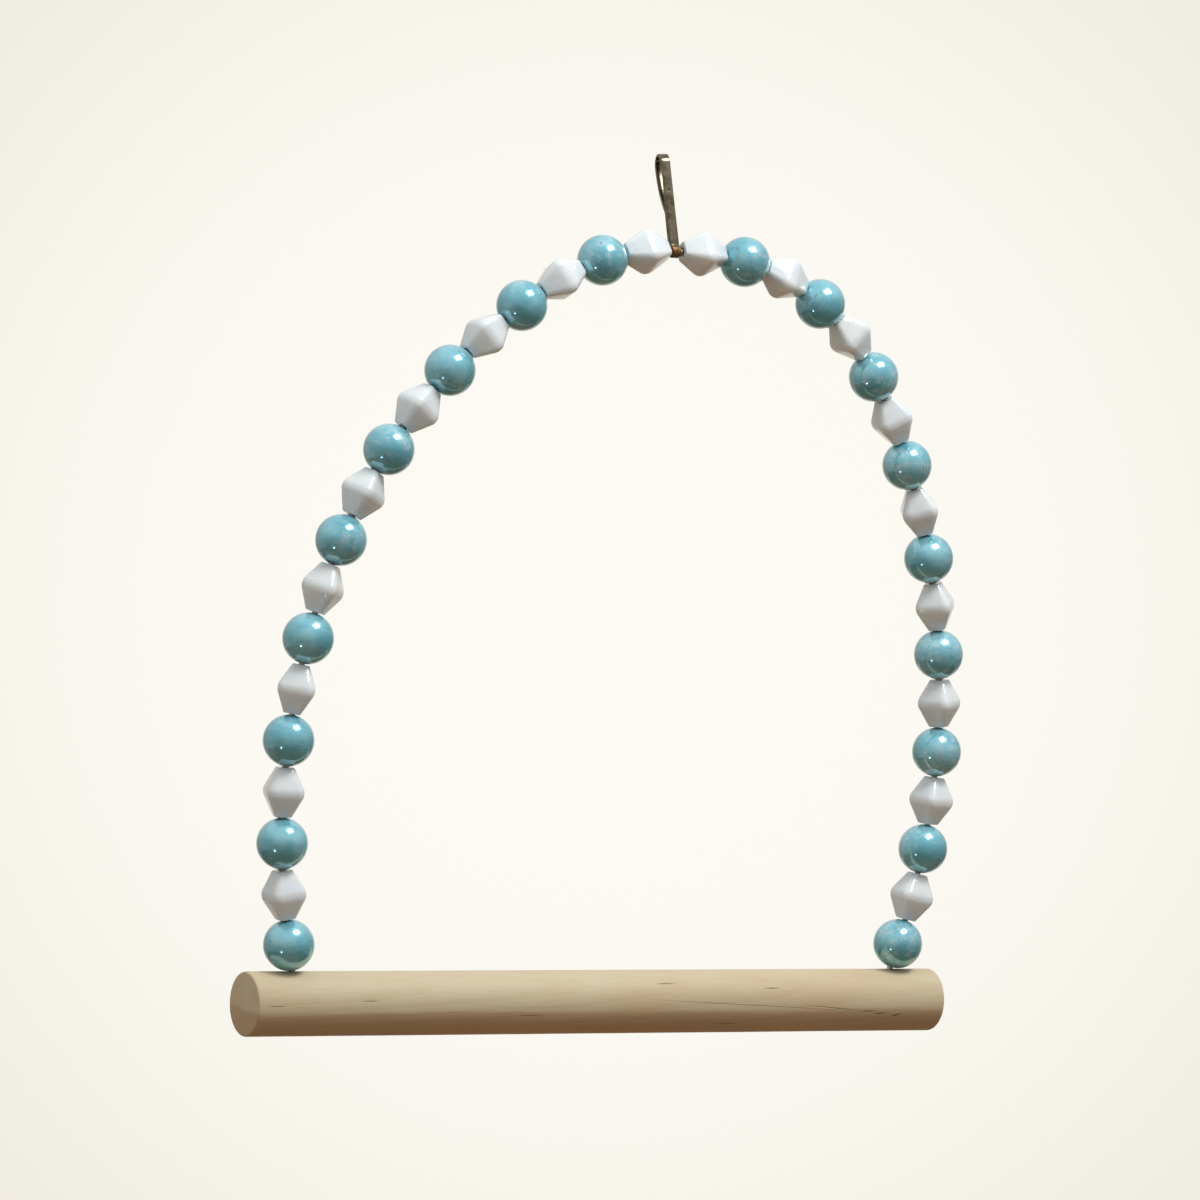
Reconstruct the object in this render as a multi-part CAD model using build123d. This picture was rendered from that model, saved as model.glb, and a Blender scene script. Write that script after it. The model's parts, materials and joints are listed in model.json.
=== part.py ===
from build123d import *
import os
from math import asin, atan2, cos, pi, radians, sin, sqrt

# Bird swing: a wooden perch under an arch of steel wire threaded with pearl and white beads, hung by a bent
# metal strip. Millimetres, +Z up, perch along X. The origin is the centre of the bend that the hanger hangs by.

# Wire
WIRE_DIAMETER = 1.2
HANGER_GAP = 3.4  # bare wire between the two beads beside the hanger
LEFT_PEAK_RADIUS = 45.0  # first bend beside the hanger; bent by hand, so the two sides differ
LEFT_PEAK_TURN = 30.4  # degrees
LEFT_CROWN_RADIUS = 107.0
LEFT_CROWN_TURN = 44.2  # degrees
RIGHT_PEAK_RADIUS = 114.0
RIGHT_PEAK_TURN = 5.0  # degrees
RIGHT_CROWN_RADIUS = 50.0
RIGHT_CROWN_TURN = 52.5  # degrees
SIDE_RADIUS = 140.0

# Beads
BEAD_PAIRS = 9  # pairs of one pearl and one white bead on each side
BEAD_GAP = 0.25
BEAD_BORE = 1.8
PEARL_DIAMETER = 10.1
WHITE_LENGTH = 9.65
WHITE_ACROSS_FLATS = 7.9
WHITE_END_ACROSS_FLATS = 3.3
WHITE_CORNER_RADIUS = 2.0
WHITE_END_CORNER_RADIUS = 1.2
WHITE_BELT_RADIUS = 1.6  # softening of the edges round the middle
WHITE_SPIN_STEP = 37.0  # degrees from one white bead to the next, as threaded

# Perch
PERCH_OVERHANG = 10.0  # from the wire's hole to the perch's end
PERCH_DIAMETER = 12.7
PERCH_SEAT_GAP = 0.12  # under the lower of the two lowest beads
PERCH_EDGE_BREAK = 0.4
FOOT_DEPTH = 9.0  # of the wire, measured along the foot
FOOT_HOLE_CLEARANCE = 0.05

# Hanger
STRIP_WIDTH = 1.9
STRIP_THICKNESS = 0.6
LOOP_BORE_RADIUS = 1.65  # inside of the bend on top, over the bar that it hangs on
LOOP_HEIGHT = 18.4  # from the wire's axis to the centre of that bend
LOOP_BOW_RADIUS = 18.0  # of the back leg's middle, from the bend down to the neck
LOOP_NECK_RADIUS = 1.5  # of the back leg's middle, where it turns down beside the front leg
LEG_SEAM = 0.12  # between the strip's two legs
FOOT_CLEARANCE = 0.06  # round the wire
TIP_GAP = 0.4  # between the strip's ends under the wire
FOOT_BEND_RADIUS = 0.7  # of the strip's middle where the legs part round the wire
NECK_STRAIGHT = 0.5  # of each leg, above and below the twist
NECK_TWIST = -14.0  # degrees, loop against foot
HANGER_TILT = 20.0  # degrees, hanger against the arch, about the wire

# Derived sizes
wire_radius = WIRE_DIAMETER / 2
pearl_radius = PEARL_DIAMETER / 2
pearl_length = sqrt(PEARL_DIAMETER**2 - BEAD_BORE**2)
perch_radius = PERCH_DIAMETER / 2
foot_bore = wire_radius + FOOT_CLEARANCE

# Hanger: the front leg is straight, so the bend on top and the bow of the back leg lie behind it
leg_line = (LEG_SEAM + STRIP_THICKNESS) / 2
loop_line = LOOP_BORE_RADIUS + STRIP_THICKNESS / 2
loop_y = loop_line - leg_line
bow_y = loop_y + loop_line - LOOP_BOW_RADIUS
neck_y = leg_line + LOOP_NECK_RADIUS
neck_drop = sqrt((LOOP_BOW_RADIUS + LOOP_NECK_RADIUS) ** 2 - (neck_y - bow_y) ** 2)
twist_base = foot_bore + STRIP_THICKNESS + FOOT_BEND_RADIUS + NECK_STRAIGHT
twist_top = LOOP_HEIGHT - neck_drop - NECK_STRAIGHT

# The wire's axis at the crown, under the twisted and tilted hanger
neck_twist = radians(NECK_TWIST)
hanger_tilt = radians(HANGER_TILT)
loop_back = loop_y * cos(neck_twist)
crown = Vector(
    loop_y * sin(neck_twist),
    -loop_back * cos(hanger_tilt) - LOOP_HEIGHT * sin(hanger_tilt),
    loop_back * sin(hanger_tilt) - LOOP_HEIGHT * cos(hanger_tilt),
)

# Bead centres along one half of the wire, from the hanger down to the perch
bead_lengths = [WHITE_LENGTH, pearl_length] * BEAD_PAIRS
bead_stations = []
run = HANGER_GAP / 2
for length in bead_lengths:
    bead_stations.append(run + length / 2)
    run += length + BEAD_GAP

# Each half of the arch as radius and turn of each arc; the side arc ends inside the lowest bead
half_arcs = {
    -1: [(LEFT_PEAK_RADIUS, radians(LEFT_PEAK_TURN)), (LEFT_CROWN_RADIUS, radians(LEFT_CROWN_TURN))],
    1: [(RIGHT_PEAK_RADIUS, radians(RIGHT_PEAK_TURN)), (RIGHT_CROWN_RADIUS, radians(RIGHT_CROWN_TURN))],
}
for arcs in half_arcs.values():
    side_run = bead_stations[-1] - HANGER_GAP / 2 - sum(radius * turn for radius, turn in arcs)
    arcs.append((SIDE_RADIUS, side_run / SIDE_RADIUS))


def wire_point(station, side):
    """Place on one half of the wire: outward and upward from the crown."""
    x = min(station, HANGER_GAP / 2)
    z = 0.0
    turned = 0.0
    rest = station - x
    for radius, turn in half_arcs[side]:
        step = min(rest / radius, turn)
        x += radius * (sin(turned + step) - sin(turned))
        z -= radius * (cos(turned) - cos(turned + step))
        turned += step
        rest -= radius * step
    return x + rest * cos(turned), z - rest * sin(turned)


def bead_place(index, side):
    """Centre and axis of a bead: its bore lies on the wire's chord, shifted to halve the bow."""
    half = bead_lengths[index] / 2
    x_top, z_top = wire_point(bead_stations[index] - half, side)
    x_low, z_low = wire_point(bead_stations[index] + half, side)
    x_mid, z_mid = wire_point(bead_stations[index], side)
    x = (x_top + x_low + 2 * x_mid) / 4
    z = (z_top + z_low + 2 * z_mid) / 4
    centre = crown + Vector(side * x, 0, z)
    axis = Vector(side * (x_top - x_low), 0, z_top - z_low).normalized()
    return centre, axis


# The perch lies under the lowest beads, and the wire's feet run on straight into it
lowest = {side: wire_point(bead_stations[-1], side) for side in half_arcs}
perch_top = min(z for x, z in lowest.values()) - pearl_radius - PERCH_SEAT_GAP
foot_turn = {}
foot_end = {}
perch_reach = {}
for side, (lowest_x, lowest_z) in lowest.items():
    foot_turn[side] = sum(turn for radius, turn in half_arcs[side])
    foot_above = (lowest_z - perch_top) / sin(foot_turn[side])
    foot_end[side] = bead_stations[-1] + foot_above + FOOT_DEPTH
    perch_reach[side] = lowest_x + foot_above * cos(foot_turn[side]) + PERCH_OVERHANG
perch_length = perch_reach[-1] + perch_reach[1]
perch_x = (perch_reach[1] - perch_reach[-1]) / 2
perch_place = Pos(crown + Vector(perch_x, 0, perch_top - perch_radius))


def pearl_bead():
    """Round bead with a straight bore along Z."""
    return Sphere(pearl_radius) - Cylinder(BEAD_BORE / 2, PEARL_DIAMETER)


def white_bead():
    """Four-sided double cone with soft edges, flat ends and a straight bore along Z."""
    end = RectangleRounded(WHITE_END_ACROSS_FLATS, WHITE_END_ACROSS_FLATS, WHITE_END_CORNER_RADIUS)
    belt = RectangleRounded(WHITE_ACROSS_FLATS, WHITE_ACROSS_FLATS, WHITE_CORNER_RADIUS)
    lower = loft([Pos(0, 0, -WHITE_LENGTH / 2) * end, belt], ruled=True)
    upper = loft([belt, Pos(0, 0, WHITE_LENGTH / 2) * end], ruled=True)
    blank = lower + upper
    belt_edges = blank.edges().filter_by(lambda edge: abs(edge.center().Z) < WHITE_LENGTH / 8)
    blank = fillet(belt_edges, WHITE_BELT_RADIUS)
    return blank - Cylinder(BEAD_BORE / 2, WHITE_LENGTH)


def wire_spot(station):
    """Point on the wire at a run from the crown, negative on the left half."""
    side = 1 if station > 0 else -1
    x, z = wire_point(abs(station), side)
    return crown + Vector(side * x, 0, z)


def arch_wire():
    """One round wire: straight feet, three tangent arcs on each side and a straight seat at the crown."""
    ends = {}
    for side, arcs in half_arcs.items():
        ends[side] = [HANGER_GAP / 2]
        for radius, turn in arcs:
            ends[side].append(ends[side][-1] + radius * turn)
        ends[side].append(foot_end[side])
    stations = [-end for end in reversed(ends[-1])] + ends[1]
    straight = (0, len(ends[-1]) - 1, len(stations) - 2)
    edges = []
    for number, (start, end) in enumerate(zip(stations, stations[1:])):
        if number in straight:
            edges.append(Line(wire_spot(start), wire_spot(end)))
        else:
            edges.append(ThreePointArc(wire_spot(start), wire_spot((start + end) / 2), wire_spot(end)))
    path = Wire(edges)
    section = Plane(path @ 0, z_dir=path % 0) * Circle(wire_radius)
    return sweep(section, path=path)


def perch():
    """Dowel along X with broken edges and a blind hole under each foot of the wire."""
    blank = perch_place * Cylinder(perch_radius, perch_length, rotation=(0, 90, 0))
    dowel = chamfer(blank.edges().filter_by(GeomType.CIRCLE), PERCH_EDGE_BREAK)
    for side in (-1, 1):
        up_foot = Vector(-side * cos(foot_turn[side]), 0, sin(foot_turn[side]))
        mouth = Plane(wire_spot(side * foot_end[side]), z_dir=up_foot)
        dowel -= extrude(mouth * Circle(wire_radius + FOOT_HOLE_CLEARANCE), FOOT_DEPTH + perch_radius)
    return dowel


def strip_along(edges):
    """The strip swept along a path in the YZ plane, its width along X."""
    path = Wire(edges)
    start = Plane(path @ 0, x_dir=(1, 0, 0), z_dir=path % 0)
    return sweep(start * Rectangle(STRIP_WIDTH, STRIP_THICKNESS), path=path)


def turned_from(centre, radius, angle):
    """Point in the YZ plane at a radius and angle from a centre."""
    return centre + Vector(0, radius * cos(angle), radius * sin(angle))


def loop():
    """Straight front leg, the bend on top and the bowed back leg down to the neck, in the loop's own plane."""
    bend = Vector(0, loop_y, LOOP_HEIGHT)
    bow = Vector(0, bow_y, LOOP_HEIGHT)
    neck = Vector(0, neck_y, LOOP_HEIGHT - neck_drop)
    meet = atan2(neck_drop, neck_y - bow_y)
    front = turned_from(bend, loop_line, pi)
    back = turned_from(bend, loop_line, 0)
    join = turned_from(bow, LOOP_BOW_RADIUS, -meet)
    leg_top = turned_from(neck, LOOP_NECK_RADIUS, pi)
    return strip_along([
        Line(Vector(0, -leg_line, twist_top), front),
        ThreePointArc(front, turned_from(bend, loop_line, pi / 2), back),
        ThreePointArc(back, turned_from(bow, LOOP_BOW_RADIUS, -meet / 2), join),
        ThreePointArc(join, turned_from(neck, LOOP_NECK_RADIUS, pi - meet / 2), leg_top),
        Line(leg_top, Vector(0, leg_line, twist_top)),
    ])


def foot_half():
    """Half of the foot, from the leg round the wire to the strip's end."""
    wrap_line = foot_bore + STRIP_THICKNESS / 2
    reach = leg_line + FOOT_BEND_RADIUS
    rise = sqrt((wrap_line + FOOT_BEND_RADIUS) ** 2 - reach**2)
    wire = Vector(0, 0, 0)
    bend = Vector(0, reach, rise)
    meet = atan2(rise, reach)
    leg_end = turned_from(bend, FOOT_BEND_RADIUS, pi)
    join = turned_from(wire, wrap_line, meet)
    tip = asin(TIP_GAP / 2 / wrap_line) - pi / 2
    return strip_along([
        Line(Vector(0, leg_line, twist_base), leg_end),
        ThreePointArc(leg_end, turned_from(bend, FOOT_BEND_RADIUS, pi + meet / 2), join),
        ThreePointArc(join, turned_from(wire, wrap_line, (meet + tip) / 2), turned_from(wire, wrap_line, tip)),
    ])


def hanger():
    """Metal strip bent to a narrow loop; its two legs twist together and wrap the wire."""
    foot = foot_half()
    strip = Rot(0, 0, NECK_TWIST) * loop() + foot + mirror(foot, Plane.XZ)
    for side in (-1, 1):
        leg = Pos(0, side * leg_line, 0) * Rectangle(STRIP_WIDTH, STRIP_THICKNESS)
        strip += loft([Pos(0, 0, twist_base) * leg, Pos(0, 0, twist_top) * Rot(0, 0, NECK_TWIST) * leg])
    return Pos(crown) * Rot(-HANGER_TILT, 0, 0) * strip


os.makedirs("parts", exist_ok=True)
export_step(hanger(), "parts/hanger.step")
export_step(arch_wire(), "parts/arch_wire.step")
export_step(perch(), "parts/perch.step")
for side, side_name in ((-1, "left"), (1, "right")):
    for index in range(2 * BEAD_PAIRS):
        number = BEAD_PAIRS - index // 2
        centre, axis = bead_place(index, side)
        place = Plane(centre, x_dir=(0, 1, 0), z_dir=axis)
        if index % 2:
            export_step(place * pearl_bead(), f"parts/pearl_bead_{side_name}_{number}.step")
        else:
            spin = Rot(0, 0, side * (index + 1) * WHITE_SPIN_STEP)
            export_step(place * spin * white_bead(), f"parts/white_bead_{side_name}_{number}.step")
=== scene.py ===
import json
from math import asin, atan2, cos, hypot, pi, radians, sin, sqrt

import bmesh
import bpy
from mathutils import Matrix, Vector, noise


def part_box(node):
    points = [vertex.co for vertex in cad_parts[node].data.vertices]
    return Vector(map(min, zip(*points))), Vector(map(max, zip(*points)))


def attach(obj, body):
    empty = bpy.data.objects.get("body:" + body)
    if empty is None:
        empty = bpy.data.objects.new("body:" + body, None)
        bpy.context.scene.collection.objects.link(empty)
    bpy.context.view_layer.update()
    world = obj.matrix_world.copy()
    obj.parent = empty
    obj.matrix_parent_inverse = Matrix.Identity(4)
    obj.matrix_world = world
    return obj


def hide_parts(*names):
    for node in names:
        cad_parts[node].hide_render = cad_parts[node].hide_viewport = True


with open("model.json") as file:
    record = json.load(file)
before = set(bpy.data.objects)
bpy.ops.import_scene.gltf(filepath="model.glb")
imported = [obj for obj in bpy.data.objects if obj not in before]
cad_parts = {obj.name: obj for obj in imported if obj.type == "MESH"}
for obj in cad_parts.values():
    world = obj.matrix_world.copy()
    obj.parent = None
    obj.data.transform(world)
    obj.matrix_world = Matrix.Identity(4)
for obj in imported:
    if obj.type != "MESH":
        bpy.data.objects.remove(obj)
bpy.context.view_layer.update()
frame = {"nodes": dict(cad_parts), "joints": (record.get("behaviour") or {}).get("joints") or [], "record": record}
joints = {joint["name"]: joint for joint in frame["joints"]}


# Perch
# A round dowel of pale hardwood, sawn square at both ends, with its edges broken by sandpaper. A thin blind
# hole on top near each end, drilled at a slant, takes a foot of the wire.

PERCH_SIDES = 96
PERCH_RINGS = 120
PERCH_EDGE_BREAK = 0.0004
SANDED_HOLLOW = 0.00005  # deepest low spot that the sanding left
SANDING_WAVES = Vector((45, 190, 190))  # to a metre, along and across the dowel
SANDING_RIPPLES = Vector((160, 620, 620))
HOLE_RADIUS = 0.00065
HOLE_DEPTH = 0.009
HOLE_FROM_END = 0.010
HOLE_LEANS = {-1: radians(12.9), 1: radians(16.5)}  # left and right
MILLIMETRES = (1000, 1000, 1000)

perch_low, perch_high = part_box("perch")
perch_centre = (perch_low + perch_high) / 2
perch_half = (perch_high.x - perch_low.x) / 2
perch_radius = (perch_high.z - perch_low.z) / 2


class Level:
    """A shader value. Python's operators on it add Math nodes."""

    def __init__(self, work, socket):
        self.work = work
        self.socket = socket

    def output(self, name):
        """Another output of the same node."""
        return Level(self.work, self.socket.node.outputs[name])

    def __add__(self, other):
        return self.work.maths("ADD", self, other)

    def __radd__(self, other):
        return self.work.maths("ADD", other, self)

    def __sub__(self, other):
        return self.work.maths("SUBTRACT", self, other)

    def __rsub__(self, other):
        return self.work.maths("SUBTRACT", other, self)

    def __mul__(self, other):
        return self.work.maths("MULTIPLY", self, other)

    def __rmul__(self, other):
        return self.work.maths("MULTIPLY", other, self)

    def __truediv__(self, other):
        return self.work.maths("DIVIDE", self, other)

    def __pow__(self, other):
        return self.work.maths("POWER", self, other)


class NodeWork:
    """The shader nodes of one finish, or of the studio around the swing."""

    def __init__(self, owner):
        owner.use_nodes = True
        self.owner = owner
        self.tree = owner.node_tree

    def feed(self, socket, value):
        """Gives a socket a fixed value or a link."""
        if isinstance(value, Level):
            self.tree.links.new(value.socket, socket)
        else:
            socket.default_value = value

    def node(self, kind, settings, sockets, output=0):
        """Adds a node: its type, its settings, then the values or links of its sockets."""
        made = self.tree.nodes.new(kind)
        for name, value in settings.items():
            setattr(made, name, value)
        for name, value in sockets.items():
            self.feed(made.inputs[name], value)
        return Level(self, made.outputs[output])

    def maths(self, operation, *values):
        return self.node("ShaderNodeMath", {"operation": operation}, dict(enumerate(values)))

    def rise(self, value, low, high):
        """0 below low, 1 above high, and a smooth step between."""
        settings = {"interpolation_type": "SMOOTHSTEP"}
        return self.node("ShaderNodeMapRange", settings, {"Value": value, "From Min": low, "From Max": high})

    def tint(self, share, first, second):
        """Mixes two colours."""
        return self.node("ShaderNodeMix", {"data_type": "RGBA"}, {0: share, 6: first, 7: second}, 2)

    def spot(self, scale, centre=(0, 0, 0)):
        """Places on the piece, from a centre and in a scale of its own."""
        place = self.node("ShaderNodeTexCoord", {}, {}, "Object")
        shift = [-middle * size for middle, size in zip(centre, scale)]
        return self.node("ShaderNodeMapping", {}, {"Vector": place, "Location": shift, "Scale": scale})

    def reach(self, place, direction):
        """How far a place lies along a direction."""
        settings = {"operation": "DOT_PRODUCT"}
        return self.node("ShaderNodeVectorMath", settings, {0: place, 1: direction}, "Value")

    def grain(self, place, scale, detail=2.0, roughness=0.5, stretch=(1, 1, 1)):
        """Soft noise from 0 to 1; a stretch under 1 draws it out along that axis."""
        drawn = self.node("ShaderNodeVectorMath", {"operation": "MULTIPLY"}, {0: place, 1: stretch})
        sockets = {"Vector": drawn, "Scale": scale, "Detail": detail, "Roughness": roughness}
        return self.node("ShaderNodeTexNoise", {}, sockets)

    def relief(self, height, depth):
        """A bump as deep as the real unevenness, in metres."""
        return self.node("ShaderNodeBump", {}, {"Height": height, "Distance": depth, "Strength": 1.0})

    def surface(self, **sockets):
        """Feeds the Principled shader; a socket's spaces are written as underscores."""
        for name, value in sockets.items():
            self.feed(self.tree.nodes["Principled BSDF"].inputs[name.replace("_", " ")], value)


def finish(name):
    """A new material's nodes."""
    return NodeWork(bpy.data.materials.new(name))


def colour(red, green, blue):
    """A colour as seen, in steps of 255, for a shader."""
    seen = [step / 255 for step in (red, green, blue)]
    return [step / 12.92 if step <= 0.04045 else ((step + 0.055) / 1.055) ** 2.4 for step in seen] + [1.0]


def new_piece(name, shape, work, sharp=40):
    """Makes a finished shape an object: smooth but for edges over an angle in degrees."""
    mesh = bpy.data.meshes.new(name)
    shape.to_mesh(mesh)
    shape.free()
    mesh.shade_smooth()
    mesh.set_sharp_from_angle(angle=radians(sharp))
    mesh.materials.append(work.owner)
    piece = bpy.data.objects.new(name, mesh)
    bpy.context.scene.collection.objects.link(piece)
    return piece


def soften(shape, edges, width, segments, measure="OFFSET"):
    """Rounds edges off."""
    bmesh.ops.bevel(
        shape,
        geom=edges,
        offset=width,
        offset_type=measure,
        segments=segments,
        profile=0.5,
        affect="EDGES",
        material=-1,
    )


def perch_finish():
    """Bare sanded wood: rings round a heart outside the dowel, painted shade in brown along the underside, pores
    and fine checks.
    """
    pale = colour(194, 181, 151)
    tan = colour(173, 146, 106)
    rosy = colour(188, 160, 128)
    pore_brown = colour(120, 88, 56)
    check_brown = colour(84, 58, 36)
    # painted shade: a darker brown laid on the underside
    painted_shade_brown = colour(150, 108, 68)
    ring_width = 1.7
    heart_y, heart_z = -15.0, 11.0
    drift_y, drift_z = 0.055, -0.02  # of the grain against the dowel, per millimetre
    checks = [  # along from the middle, height, half length, half width, slope
        (37.5, 3.4, 2.6, 0.16, 0.02),
        (33.5, 0.0, 31.0, 0.09, -0.055),
        (52.0, -0.6, 9.0, 0.13, -0.09),
        (60.5, -1.4, 2.2, 0.22, 0.0),
        (63.5, -1.9, 2.4, 0.26, 0.06),
        (67.5, -2.3, 1.5, 0.34, 0.25),
        (27.5, -3.9, 4.0, 0.14, 0.03),
        (13.0, 4.3, 3.0, 0.14, 0.0),
        (-18.5, -1.7, 4.0, 0.12, -0.02),
        (-54.5, 1.3, 3.0, 0.14, 0.02),
        (-75.0, 0.4, 2.6, 0.14, 0.0),
    ]
    wood = finish("perch_wood")
    place = wood.spot(MILLIMETRES, perch_centre)
    along = wood.node("ShaderNodeSeparateXYZ", {}, {"Vector": place}, "X")
    across = along.output("Y")
    height = along.output("Z")

    wander = wood.grain(place, 0.16, 2.0, 0.5, (0.14, 1, 1)) - 0.5
    ring_y = across - heart_y + along * drift_y + wander * 2.6
    ring_z = height - heart_z + along * drift_z
    run = (ring_y * ring_y + ring_z * ring_z) ** 0.5 / ring_width
    part = wood.maths("FRACT", run)
    late = wood.rise(part, 0.35, 0.93) * (1 - wood.rise(part, 0.93, 1.0))
    tone = wood.grain(place, 0.09, 2.0, 0.5, (0.3, 1, 1))
    fibre = wood.grain(place, 4.5, 3.0, 0.6, (0.035, 1, 1))
    fleck = wood.grain(place, 3.2, 2.0, 0.5, (0.1, 1, 1))
    pores = wood.rise(fleck, 0.72, 0.8)

    front = wood.rise(-1 * across, 0.5, 1.5)
    split = 0.0
    for middle, level, half_length, half_width, slope in checks:
        run_along = (along - middle) / half_length
        run_up = (height - level - (along - middle) * slope + wander * 0.5) / half_width
        near = (run_along * run_along + run_up * run_up) ** 0.5
        split = split + (1 - wood.rise(near, 0.2, 1.0)) * front
    split = wood.maths("MINIMUM", split, 1.0)

    # Painted shade: the wood turns darker brown towards the underside, with a wavy edge.
    painted_underside_shade = wood.rise(wander * 2.4 + fibre * 0.8 - height, 0.9, 1.9)
    shade = wood.tint(late * 0.12, pale, tan)
    shade = wood.tint(painted_underside_shade * 0.45, shade, painted_shade_brown)
    shade = wood.tint(wood.rise(tone, 0.45, 0.72) * 0.45, shade, rosy)
    shade = wood.tint(wood.rise(fibre, 0.48, 0.8) * 0.38, shade, tan)
    shade = wood.tint(pores * 0.4, shade, pore_brown)
    shade = wood.tint(split * 0.65, shade, check_brown)
    depth = fibre * 0.5 - late * 0.2 - pores * 0.5 - split
    wood.surface(
        Base_Color=shade,
        Roughness=0.5 + fibre * 0.16 + split * 0.2,
        Normal=wood.relief(depth, 0.00006),
        IOR=1.45,
    )
    return wood


def perch_shape():
    shape = bmesh.new()
    bmesh.ops.create_cone(
        shape,
        cap_ends=True,
        segments=PERCH_SIDES,
        radius1=perch_radius,
        radius2=perch_radius,
        depth=2 * perch_half,
        matrix=Matrix.Rotation(pi / 2, 4, "Y"),
    )
    long_edges = [edge for edge in shape.edges if edge.calc_length() > perch_half]
    bmesh.ops.subdivide_edges(shape, edges=long_edges, cuts=PERCH_RINGS)
    ends = [face for face in shape.faces if len(face.verts) == PERCH_SIDES]
    rims = [edge for face in ends for edge in face.edges]
    soften(shape, rims, PERCH_EDGE_BREAK, 3)
    for corner in shape.verts:
        wide = noise.noise(corner.co * SANDING_WAVES)
        fine = noise.noise(corner.co * SANDING_RIPPLES)
        hollow = SANDED_HOLLOW * (0.5 + 0.35 * wide + 0.15 * fine) / perch_radius
        corner.co.y *= 1 - hollow
        corner.co.z *= 1 - hollow
    bmesh.ops.translate(shape, verts=shape.verts, vec=perch_centre)
    return shape


def drill_holes(piece):
    """Cuts the two blind holes and leaves the result in the piece's own mesh."""
    bits = bmesh.new()
    for side, slant in HOLE_LEANS.items():
        mouth = perch_centre + Vector((side * (perch_half - HOLE_FROM_END), 0, perch_radius))
        lean = Matrix.Rotation(side * slant, 4, "Y")
        bmesh.ops.create_cone(
            bits,
            cap_ends=True,
            segments=32,
            radius1=HOLE_RADIUS,
            radius2=HOLE_RADIUS,
            depth=2 * HOLE_DEPTH,
            matrix=Matrix.Translation(mouth) @ lean,
        )
    mesh = bpy.data.meshes.new("drill_bits")
    bits.to_mesh(mesh)
    bits.free()
    drill = bpy.data.objects.new("drill_bits", mesh)
    bpy.context.scene.collection.objects.link(drill)
    cut = piece.modifiers.new("drilling", "BOOLEAN")
    cut.operation = "DIFFERENCE"
    cut.object = drill
    drilled = bpy.data.meshes.new_from_object(piece.evaluated_get(bpy.context.evaluated_depsgraph_get()))
    piece.modifiers.clear()
    piece.data = drilled
    bpy.data.objects.remove(drill)


perch_piece = new_piece("perch_dowel", perch_shape(), perch_finish())
drill_holes(perch_piece)
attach(perch_piece, "arch")
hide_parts("perch")


# Arch wire
# One length of drawn steel wire, bent to the arch. Its feet are pushed into the perch, and the beads hide it
# but for a short bare seat at the crown and the slits between them.


def wire_finish():
    """Drawn steel gone dull: fine lines along the wire and darker spots."""
    bright = colour(206, 203, 196)
    dull = colour(150, 142, 128)
    wire = finish("drawn_steel")
    place = wire.spot(MILLIMETRES)
    spots = wire.grain(place, 1.1, 3.0, 0.6)
    lines = wire.grain(place, 9.0, 2.0, 0.5)
    wire.surface(
        Base_Color=wire.tint(wire.rise(spots, 0.4, 0.7), bright, dull),
        Metallic=1.0,
        Roughness=0.28 + spots * 0.25,
        Normal=wire.relief(lines, 0.00001),
    )
    return wire


frame["nodes"]["arch_wire"].material_slots[0].material = wire_finish().owner


# Pearl beads
# Round moulded plastic beads under a light-blue pearl lacquer and a clear gloss, each with a straight bore
# for the wire. Nine on each side alternate with the white beads, and every one can turn on the wire.

BEADS_A_SIDE = 9
PEARL_RADIUS = 0.00505
PEARL_SIDES = 72
PEARL_BANDS = 35  # puts the second ring from a pole at the bore's edge
PEARL_DENT = 0.000012
PEARL_DENT_WAVES = 420  # to a metre
BORE_RADIUS = 0.0009
PEARL_RIM = 0.0001


def pearl_finish():
    """Pearl lacquer: clouded light blue in faint rings, worn spots, a cracked frost mainly on the right."""
    mid_blue = colour(93, 177, 197)
    light_blue = colour(136, 205, 221)
    silver = colour(204, 227, 231)
    deep_blue = colour(70, 134, 148)
    pearl = finish("pearl_lacquer")
    place = pearl.spot(MILLIMETRES)
    cloud = pearl.grain(place, 0.2, 2.0, 0.5)
    mottle = pearl.grain(place, 0.62, 4.0, 0.6)
    worn = pearl.rise(pearl.grain(place, 0.62, 2.0, 0.5), 0.66, 0.72)
    wrap = pearl.node("ShaderNodeUVMap", {"uv_map": "wrap"}, {})
    rings_a_bead = (0, 30, 0)
    along_ring = pearl.spot((420, 420, 420))
    round_bore = pearl.node(
        "ShaderNodeVectorMath", {"operation": "MULTIPLY_ADD"}, {0: wrap, 1: rings_a_bead, 2: along_ring}
    )
    rings = pearl.grain(round_bore, 1.0, 2.0, 0.55)
    settings = {"feature": "DISTANCE_TO_EDGE"}
    net = pearl.node("ShaderNodeTexVoronoi", settings, {"Vector": place, "Scale": 0.85})
    cracks = (1 - pearl.rise(net, 0.0, 0.08)) * pearl.rise(cloud, 0.46, 0.6)
    rightward = pearl.node("ShaderNodeSeparateXYZ", {}, {"Vector": place}, "X")
    frosted = pearl.rise(pearl.grain(place, 0.06, 1.0, 0.5) + rightward * 0.001, 0.45, 0.57)

    shade = pearl.tint(pearl.rise(cloud, 0.35, 0.68), mid_blue, light_blue)
    shade = pearl.tint(pearl.rise(rings, 0.5, 0.7) * 0.35, shade, light_blue)
    shade = pearl.tint((1 - pearl.rise(rings, 0.32, 0.5)) * 0.13, shade, deep_blue)
    shade = pearl.tint(pearl.rise(mottle, 0.5, 0.66) * (0.04 + frosted * 0.45), shade, silver)
    shade = pearl.tint(cracks * (0.08 + frosted * 0.3), shade, silver)
    shade = pearl.tint(worn * 0.55, shade, deep_blue)
    pearl.surface(
        Base_Color=shade,
        Metallic=0.36 + mottle * 0.1,
        Roughness=0.12 + mottle * 0.1,
        Coat_Weight=1 - worn * 0.3,
        Coat_Roughness=0.03,
        Coat_IOR=1.8,
        Normal=pearl.relief(mottle + cracks * 0.4, 0.000005),
    )
    return pearl


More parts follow.
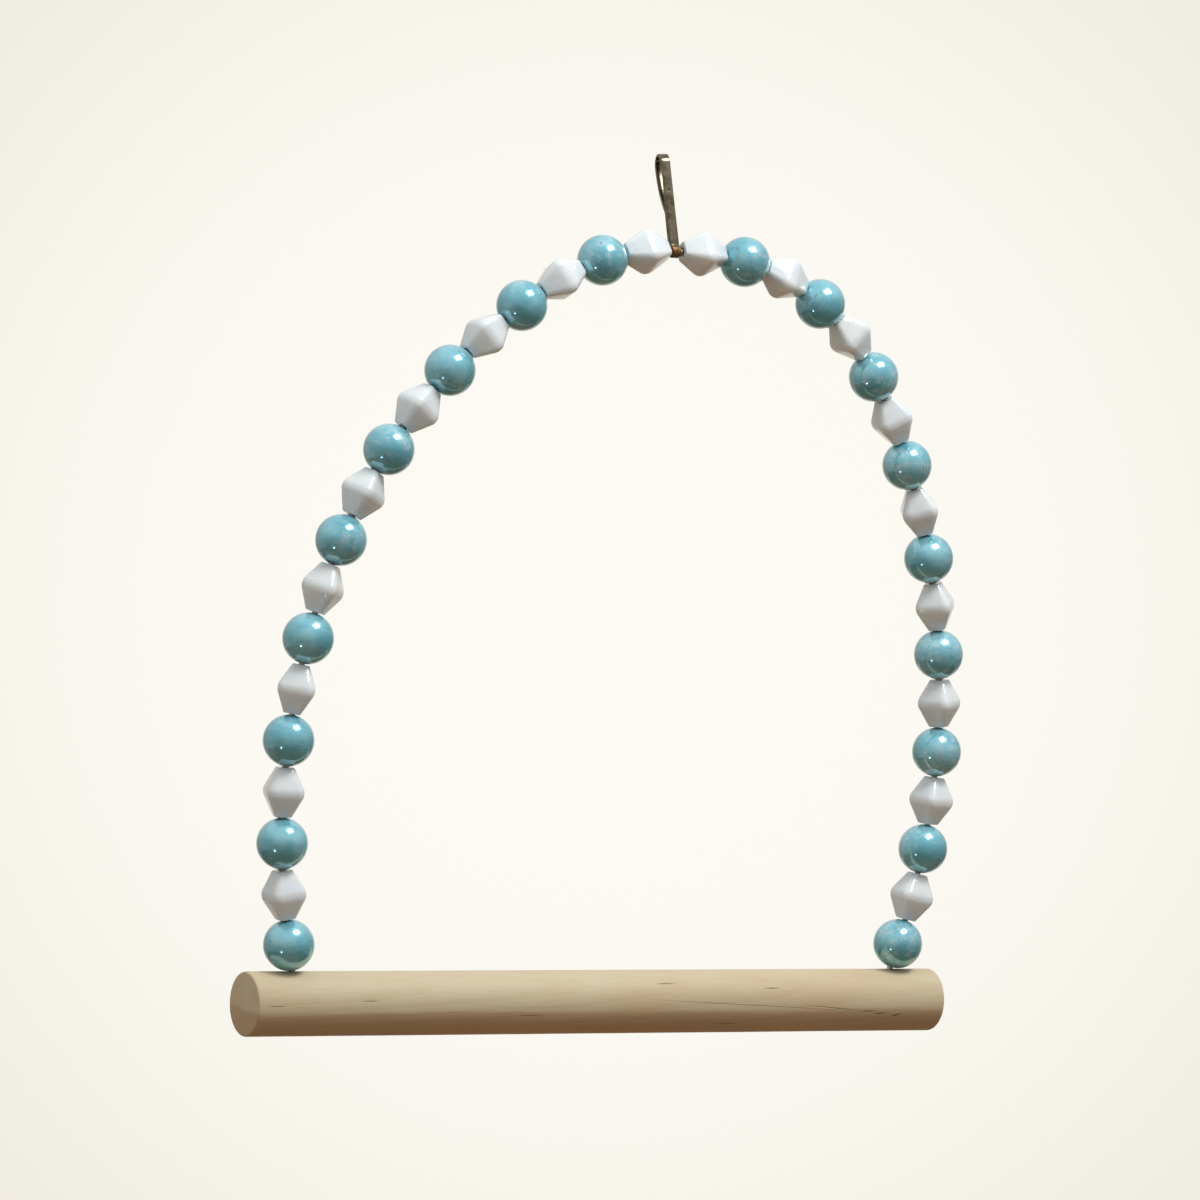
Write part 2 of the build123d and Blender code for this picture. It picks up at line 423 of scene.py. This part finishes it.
def bead_place(node):
    """Where a bead sits: its bore along its spin joint's axis."""
    joint = joints[node + "_spin"]
    along = Vector(joint["axis"]).normalized()
    forward = Vector((0, 1, 0))
    turn = Matrix((forward, along.cross(forward), along)).transposed()
    return Matrix.Translation(joint["pos_m"]) @ turn.to_4x4()


def pearl_shape(place):
    shape = bmesh.new()
    shape.loops.layers.uv.new("wrap")
    bmesh.ops.create_uvsphere(
        shape, u_segments=PEARL_SIDES, v_segments=PEARL_BANDS, radius=PEARL_RADIUS, calc_uvs=True
    )
    poles = [corner for corner in shape.verts if hypot(corner.co.x, corner.co.y) < 0.8 * BORE_RADIUS]
    bmesh.ops.delete(shape, geom=poles, context="VERTS")
    rims = [edge for edge in shape.edges if edge.is_boundary]
    bmesh.ops.bridge_loops(shape, edges=rims)
    soften(shape, rims, PEARL_RIM, 3)
    bmesh.ops.recalc_face_normals(shape, faces=shape.faces)
    bmesh.ops.transform(shape, matrix=place, verts=shape.verts)
    for corner in shape.verts:
        out = corner.co - place.translation
        dent = PEARL_DENT * (0.5 + 0.5 * noise.noise(corner.co * PEARL_DENT_WAVES))
        corner.co -= out.normalized() * dent
    return shape


pearl_lacquer = pearl_finish()
for side in ("left", "right"):
    for number in range(1, BEADS_A_SIDE + 1):
        node = f"pearl_bead_{side}_{number}"
        bead = new_piece(f"pearl_{side}_{number}", pearl_shape(bead_place(node)), pearl_lacquer)
        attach(bead, node)
        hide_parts(node)


# White beads
# Moulded beads of milky opal plastic: a four-sided double cone with soft ridges, cut flat at both ends, with
# a straight bore. They are threaded at all angles, so each shows its faces a little differently.

WHITE_LENGTH = 0.00965
WHITE_BELT = 0.0079  # across flats
WHITE_END = 0.0033
WHITE_RIDGE = 22  # rounding of the ridges, as a percentage of the flats that they join
WHITE_BELT_ROUND = 0.0012
WHITE_END_ROUND = 0.00014
WHITE_SPIN_STEP = radians(37)  # for each bead along the wire
BORE_SIDES = 32


def white_finish():
    """Milky opal plastic: faint clouds and flow lines, a wavy moulded gloss."""
    milk = colour(221, 228, 230)
    cool = colour(214, 224, 231)
    warm = colour(224, 223, 215)
    opal = finish("milk_opal")
    place = opal.spot(MILLIMETRES)
    cloud = opal.grain(place, 0.24, 2.0, 0.5)
    veil = opal.grain(place, 0.9, 3.0, 0.55)
    wave = opal.grain(place, 0.55, 1.0, 0.4)
    shade = opal.tint(opal.rise(cloud, 0.35, 0.65), milk, cool)
    shade = opal.tint(opal.rise(veil, 0.5, 0.75) * 0.5, shade, warm)
    opal.surface(
        Base_Color=shade,
        Roughness=0.12 + veil * 0.1,
        Subsurface_Weight=0.35,
        Subsurface_Radius=(1.0, 0.95, 0.85),
        Subsurface_Scale=0.002,
        Coat_Weight=0.7,
        Coat_Roughness=0.04,
        Normal=opal.relief(wave, 0.00008),
    )
    return opal


def white_shape(place):
    shape = bmesh.new()
    bmesh.ops.create_cone(
        shape,
        cap_ends=True,
        segments=4,
        radius1=WHITE_BELT * sqrt(0.5),
        radius2=WHITE_END * sqrt(0.5),
        depth=WHITE_LENGTH / 2,
        matrix=Matrix.Translation((0, 0, WHITE_LENGTH / 4)) @ Matrix.Rotation(pi / 4, 4, "Z"),
    )
    level = WHITE_LENGTH / 100
    belt_face = [face for face in shape.faces if face.calc_center_median().z < level]
    bmesh.ops.delete(shape, geom=belt_face, context="FACES_ONLY")
    whole = shape.verts[:] + shape.edges[:] + shape.faces[:]
    bmesh.ops.mirror(shape, geom=whole, matrix=Matrix.Identity(4), merge_dist=level, axis="Z")
    bmesh.ops.remove_doubles(shape, verts=shape.verts, dist=level / 10)
    bmesh.ops.recalc_face_normals(shape, faces=shape.faces)
    ridges = [edge for edge in shape.edges if abs(edge.verts[0].co.z - edge.verts[1].co.z) > level]
    soften(shape, ridges, WHITE_RIDGE, 8, "PERCENT")
    belt = [edge for edge in shape.edges if max(abs(corner.co.z) for corner in edge.verts) < level]
    soften(shape, belt, WHITE_BELT_ROUND, 6)
    ends = [face for face in shape.faces if abs(face.calc_center_median().z) > WHITE_LENGTH / 2 - level]
    soften(shape, [edge for face in ends for edge in face.edges], WHITE_END_ROUND, 3)
    flat = WHITE_LENGTH / 2 - level / 10
    ends = [face for face in shape.faces if min(abs(corner.co.z) for corner in face.verts) > flat]
    rims = [list(face.edges) for face in ends]
    heights = [face.calc_center_median().z for face in ends]
    bmesh.ops.delete(shape, geom=ends, context="FACES_ONLY")
    bore = []
    for rim, height in zip(rims, heights):
        ring = bmesh.ops.create_circle(
            shape, segments=BORE_SIDES, radius=BORE_RADIUS, matrix=Matrix.Translation((0, 0, height))
        )
        ring_edges = list(dict.fromkeys(edge for corner in ring["verts"] for edge in corner.link_edges))
        bmesh.ops.bridge_loops(shape, edges=rim + ring_edges)
        bore += ring_edges
    bmesh.ops.bridge_loops(shape, edges=bore)
    soften(shape, bore, WHITE_END_ROUND / 2, 2)
    bmesh.ops.recalc_face_normals(shape, faces=shape.faces)
    bmesh.ops.transform(shape, matrix=place, verts=shape.verts)
    return shape


milk_opal = white_finish()
for side, hand in (("left", -1), ("right", 1)):
    for number in range(1, BEADS_A_SIDE + 1):
        node = f"white_bead_{side}_{number}"
        threaded = 2 * (BEADS_A_SIDE - number) + 1  # count of beads from the hanger
        spin = Matrix.Rotation(hand * threaded * WHITE_SPIN_STEP, 4, "Z")
        bead = new_piece(f"white_{side}_{number}", white_shape(bead_place(node) @ spin), milk_opal, sharp=60)
        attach(bead, node)
        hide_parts(node)


# Hanger
# A narrow nickel-plated strip bent double over the bar that it hangs on: a straight leg in front, a bowed one
# behind, both pressed together and twisted below. Its ends are wrapped round the wire and have gone brown.

hanging_loop = frame["record"]["mounts"][0]
strip_width = hanging_loop["dims"]["length_mm"] / 1000
loop_bore = hanging_loop["dims"]["r_mm"] / 1000
STRIP_THICKNESS = 0.0006
STRIP_CORNER = 0.00016
LOOP_HEIGHT = 0.0184
LOOP_BOW_RADIUS = 0.018
LOOP_NECK_RADIUS = 0.0015
LEG_SEAM = 0.00012
FOOT_BORE = 0.00066
TIP_GAP = 0.0004
FOOT_BEND_RADIUS = 0.0007
NECK_STRAIGHT = 0.0005
NECK_TWIST = radians(-14)
HANGER_TILT = radians(20)

swing_pivot = Vector(joints["swing"]["pos_m"])
hanger_place = Matrix.Translation(swing_pivot) @ Matrix.Rotation(-HANGER_TILT, 4, "X")


def nickel_finish():
    """Nickel plate: faint lengthwise scratches, a pit on the front leg, and brown tarnish on the foot."""
    plate = colour(128, 120, 102)
    smoky = colour(92, 84, 66)
    tarnish = colour(140, 98, 48)
    dark_pit = colour(46, 36, 26)
    pit_spot = Vector((0.1, -0.66, 12.6))  # on the front leg, in millimetres from the wire, before the twist
    pit_place = hanger_place.to_3x3() @ Matrix.Rotation(NECK_TWIST, 3, "Z") @ pit_spot
    nickel = finish("nickel_plate")
    place = nickel.spot(MILLIMETRES, swing_pivot)
    up_strip = nickel.reach(place, (0, sin(HANGER_TILT), cos(HANGER_TILT)))
    haze = nickel.grain(place, 0.5, 3.0, 0.6)
    scratch = nickel.grain(place, 5.0, 2.0, 0.6, (1, 0.12, 0.06))
    settings = {"operation": "DISTANCE"}
    from_pit = nickel.node("ShaderNodeVectorMath", settings, {0: place, 1: pit_place}, "Value")
    pit = 1 - nickel.rise(from_pit + (haze - 0.5) * 0.3, 0.2, 0.32)
    brown = 1 - nickel.rise(up_strip + (haze - 0.5) * 1.2, 0.2, 1.0)
    blotch = nickel.rise(nickel.grain(place, 2.6, 3.0, 0.6), 0.48, 0.6) * brown
    shade = nickel.tint(nickel.rise(haze, 0.35, 0.7), plate, smoky)
    shade = nickel.tint(brown * 0.85, shade, tarnish)
    shade = nickel.tint(nickel.maths("MAXIMUM", pit, blotch * 0.8), shade, dark_pit)
    nickel.surface(
        Base_Color=shade,
        Metallic=1 - pit * 0.6 - brown * 0.3,
        Roughness=0.13 + scratch * 0.1 + brown * 0.3 + pit * 0.3,
        Normal=nickel.relief(scratch * 0.1 - pit - blotch, 0.00005),
    )
    return nickel


def bend_on(shape, edges, centre, axis, angle, steps, rise=0.0):
    """Carries the strip's section on round an axis, or up along it, and returns the new end."""
    corners = list(dict.fromkeys(corner for edge in edges for corner in edge.verts))
    turned = bmesh.ops.spin(
        shape,
        geom=corners + edges,
        cent=centre,
        axis=axis,
        dvec=Vector((0, 0, rise / steps)),
        angle=angle,
        steps=steps,
    )
    return [part for part in turned["geom_last"] if isinstance(part, bmesh.types.BMEdge)]


def hanger_shape():
    leg_line = (LEG_SEAM + STRIP_THICKNESS) / 2
    wrap_line = FOOT_BORE + STRIP_THICKNESS / 2
    foot_reach = leg_line + FOOT_BEND_RADIUS
    foot_rise = sqrt((wrap_line + FOOT_BEND_RADIUS) ** 2 - foot_reach**2)
    foot_meet = atan2(foot_rise, foot_reach)
    wrap = foot_meet + pi / 2 - asin(TIP_GAP / 2 / wrap_line)
    loop_line = loop_bore + STRIP_THICKNESS / 2
    loop_reach = loop_line - leg_line
    bow_reach = loop_reach + loop_line - LOOP_BOW_RADIUS
    neck_reach = leg_line + LOOP_NECK_RADIUS
    neck_drop = sqrt((LOOP_BOW_RADIUS + LOOP_NECK_RADIUS) ** 2 - (neck_reach - bow_reach) ** 2)
    neck_meet = atan2(neck_drop, neck_reach - bow_reach)
    twist_base = FOOT_BORE + STRIP_THICKNESS + FOOT_BEND_RADIUS + NECK_STRAIGHT
    twist_top = LOOP_HEIGHT - neck_drop - NECK_STRAIGHT

    across = Vector((1, 0, 0))
    upward = Vector((0, 0, 1))
    wire = Vector((0, 0, 0))
    front_bend = Vector((0, -foot_reach, foot_rise))
    back_bend = Vector((0, foot_reach, foot_rise))
    twist = Matrix.Rotation(NECK_TWIST, 3, "Z")
    loop_across = twist @ across
    top = twist @ Vector((0, loop_reach, LOOP_HEIGHT))
    bow = twist @ Vector((0, bow_reach, LOOP_HEIGHT))
    neck = twist @ Vector((0, neck_reach, LOOP_HEIGHT - neck_drop))

    shape = bmesh.new()
    bmesh.ops.create_grid(shape, x_segments=1, y_segments=1, size=0.5)
    bmesh.ops.scale(shape, vec=(strip_width, STRIP_THICKNESS, 1), verts=shape.verts)
    bmesh.ops.bevel(
        shape,
        geom=shape.verts[:],
        offset=STRIP_CORNER,
        offset_type="OFFSET",
        segments=4,
        profile=0.5,
        affect="VERTICES",
        material=-1,
    )
    bmesh.ops.translate(shape, vec=(0, wrap_line, 0), verts=shape.verts)
    first_tip = Matrix.Rotation(pi - foot_meet + wrap, 3, "X")
    bmesh.ops.rotate(shape, cent=wire, matrix=first_tip, verts=shape.verts)
    end = shape.edges[:]
    end = bend_on(shape, end, wire, across, -wrap, 24)
    end = bend_on(shape, end, front_bend, across, foot_meet, 10)
    end = bend_on(shape, end, wire, upward, 0, 1, twist_base - foot_rise)
    end = bend_on(shape, end, wire, upward, NECK_TWIST, 12, twist_top - twist_base)
    end = bend_on(shape, end, wire, upward, 0, 8, LOOP_HEIGHT - twist_top)
    end = bend_on(shape, end, top, loop_across, -pi, 36)
    end = bend_on(shape, end, bow, loop_across, -neck_meet, 24)
    end = bend_on(shape, end, neck, loop_across, neck_meet, 12)
    end = bend_on(shape, end, wire, upward, 0, 1, -NECK_STRAIGHT)
    end = bend_on(shape, end, wire, upward, -NECK_TWIST, 12, twist_base - twist_top)
    end = bend_on(shape, end, wire, upward, 0, 1, foot_rise - twist_base)
    end = bend_on(shape, end, back_bend, across, foot_meet, 10)
    end = bend_on(shape, end, wire, across, -wrap, 24)
    bmesh.ops.edgeloop_fill(shape, edges=end)
    bmesh.ops.remove_doubles(shape, verts=shape.verts, dist=STRIP_CORNER / 50)
    bmesh.ops.recalc_face_normals(shape, faces=shape.faces)
    bmesh.ops.transform(shape, matrix=hanger_place, verts=shape.verts)
    return shape


hanger_piece = new_piece("nickel_hanger", hanger_shape(), nickel_finish(), sharp=50)
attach(hanger_piece, "hanger")
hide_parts("hanger")


# Camera
# A long lens from the left front and a little above, leaning as the picture does, aimed at the swing's
# middle.

VIEW_AZIMUTH = radians(-30.45)
VIEW_ELEVATION = radians(4.5)
VIEW_ROLL = radians(4.3)
VIEW_DISTANCE = 1.3
PIXELS_A_METRE = 5030  # at the swing, in a picture of 1200 pixels
PICTURE_WIDTH = 1200
SENSOR_WIDTH = 36.0
BELOW_CROWN = 0.075  # of the point the view was measured at
AIM_LEFT = 0.0091  # from that point to the swing's middle, in the picture
AIM_UP = 0.0056

level_right = Vector((cos(VIEW_AZIMUTH), sin(VIEW_AZIMUTH), 0))
view_back = Vector((
    sin(VIEW_AZIMUTH) * cos(VIEW_ELEVATION),
    -cos(VIEW_AZIMUTH) * cos(VIEW_ELEVATION),
    sin(VIEW_ELEVATION),
))
level_up = view_back.cross(level_right)
view_right = level_right * cos(VIEW_ROLL) + level_up * sin(VIEW_ROLL)
view_up = level_up * cos(VIEW_ROLL) - level_right * sin(VIEW_ROLL)
aim = swing_pivot - Vector((0, 0, BELOW_CROWN)) - view_right * AIM_LEFT + view_up * AIM_UP

camera_data = bpy.data.cameras.new("camera")
camera_data.sensor_width = SENSOR_WIDTH
camera_data.lens = SENSOR_WIDTH * PIXELS_A_METRE * VIEW_DISTANCE / PICTURE_WIDTH
camera = bpy.data.objects.new("camera", camera_data)
stance = Matrix((view_right, view_up, view_back)).transposed().to_4x4()
camera.matrix_world = Matrix.Translation(aim + view_back * VIEW_DISTANCE) @ stance
bpy.context.scene.collection.objects.link(camera)
bpy.context.scene.camera = camera


# Studio
# A pale floor well below the swing, a cream backdrop all round, one window-like lamp from the upper right and
# a small one low on the left, in a dim warm room with a lighter wall on the left.

FLOOR_DROP = 0.5  # below the perch
FLOOR_RADIUS = 1.2
BACKDROP_EDGE = 0.0081  # 1 less the cosine of the angle from the picture's middle to its corner
CREAM = colour(252, 250, 243)
CREAM_EDGE = colour(239, 235, 224)


def shown_rays(work):
    """Two levels: 1 for what the camera sees straight or in glass, and 1 for what a gloss mirrors."""
    seen = work.node("ShaderNodeLightPath", {}, {}, "Is Camera Ray")
    shown = work.maths("MINIMUM", seen + seen.output("Is Transmission Ray"), 1.0)
    return shown, seen.output("Is Glossy Ray")


def floor_finish():
    """Pale to the eye, and in a gloss where it lies behind the swing; else dim and warm. Clear from below."""
    ground = finish("pale_floor")
    shown, glossy = shown_rays(ground)
    forward = ground.reach(ground.spot((1, 1, 1), aim), view_back)
    behind = 1 - ground.rise(forward, -1.0, -0.5)
    pale = ground.maths("MINIMUM", shown + glossy * behind, 1.0)
    warm = ground.node("ShaderNodeBsdfDiffuse", {}, {"Color": colour(166, 134, 104)})
    dark = ground.node("ShaderNodeBsdfDiffuse", {}, {"Color": colour(116, 92, 72)})
    dim = ground.node("ShaderNodeMixShader", {}, {0: glossy, 1: warm, 2: dark})
    lit = ground.node("ShaderNodeBsdfDiffuse", {}, {"Color": colour(218, 213, 203)})
    glow = ground.node("ShaderNodeEmission", {}, {"Color": CREAM, "Strength": 0.12})
    both = ground.node("ShaderNodeAddShader", {}, {0: lit, 1: glow})
    mixed = ground.node("ShaderNodeMixShader", {}, {0: pale, 1: dim, 2: both})
    below = ground.node("ShaderNodeNewGeometry", {}, {}, "Backfacing")
    clear = ground.node("ShaderNodeBsdfTransparent", {}, {})
    one_sided = ground.node("ShaderNodeMixShader", {}, {0: below, 1: mixed, 2: clear})
    ground.feed(ground.tree.nodes["Material Output"].inputs["Surface"], one_sided)
    return ground


def floor_shape():
    shape = bmesh.new()
    below = Matrix.Translation((0, 0, perch_low.z - FLOOR_DROP))
    bmesh.ops.create_circle(shape, cap_ends=True, segments=96, radius=FLOOR_RADIUS, matrix=below)
    return shape


def studio_world():
    """A dim room, warm below and lighter on the left. The eye sees the cream backdrop all round, a gloss
    only where it lies behind the swing."""
    low_wall = colour(124, 108, 92)
    ceiling = colour(232, 234, 234)
    left_wall = colour(240, 238, 232)
    world = bpy.data.worlds.new("studio")
    bpy.context.scene.world = world
    room = NodeWork(world)
    direction = room.node("ShaderNodeTexCoord", {}, {}, "Generated")
    height = room.node("ShaderNodeSeparateXYZ", {}, {"Vector": direction}, "Z")
    facing = room.reach(direction, -view_back)
    leftward = room.reach(direction, -view_right)
    shown, glossy = shown_rays(room)
    behind = room.rise(facing, 0.7, 1.0)
    pale = room.maths("MINIMUM", shown + glossy * behind, 1.0)
    off_middle = room.rise((1 - facing) / BACKDROP_EDGE, 0.0, 1.2)
    backdrop = room.tint(off_middle, CREAM, CREAM_EDGE)
    ambient = room.tint(room.rise(height, -0.3, 0.9), low_wall, ceiling)
    ambient = room.tint(room.rise(leftward + height * 0.4, 0.1, 1.3) * 0.4, ambient, left_wall)
    room.feed(room.tree.nodes["Background"].inputs["Color"], room.tint(pale, ambient, backdrop))


def add_lamp(name, right, up, back, distance, width, depth, power):
    """A soft lamp at a direction seen from the camera, aimed at the swing's middle."""
    lamp_data = bpy.data.lights.new(name, "AREA")
    lamp_data.shape = "RECTANGLE"
    lamp_data.size = width
    lamp_data.size_y = depth
    lamp_data.energy = power
    lamp = bpy.data.objects.new(name, lamp_data)
    toward = (view_right * right + view_up * up + view_back * back).normalized()
    facing = toward.to_track_quat("Z", "Y").to_matrix().to_4x4()
    lamp.matrix_world = Matrix.Translation(aim + toward * distance) @ facing
    bpy.context.scene.collection.objects.link(lamp)


floor_piece = new_piece("floor", floor_shape(), floor_finish())
studio_world()
add_lamp("window_lamp", right=0.48, up=0.8, back=0.34, distance=0.9, width=0.38, depth=0.26, power=6.2)
add_lamp("low_lamp", right=-0.5, up=-0.5, back=0.7, distance=0.8, width=0.05, depth=0.05, power=0.15)

bpy.context.scene.view_settings.view_transform = "Standard"
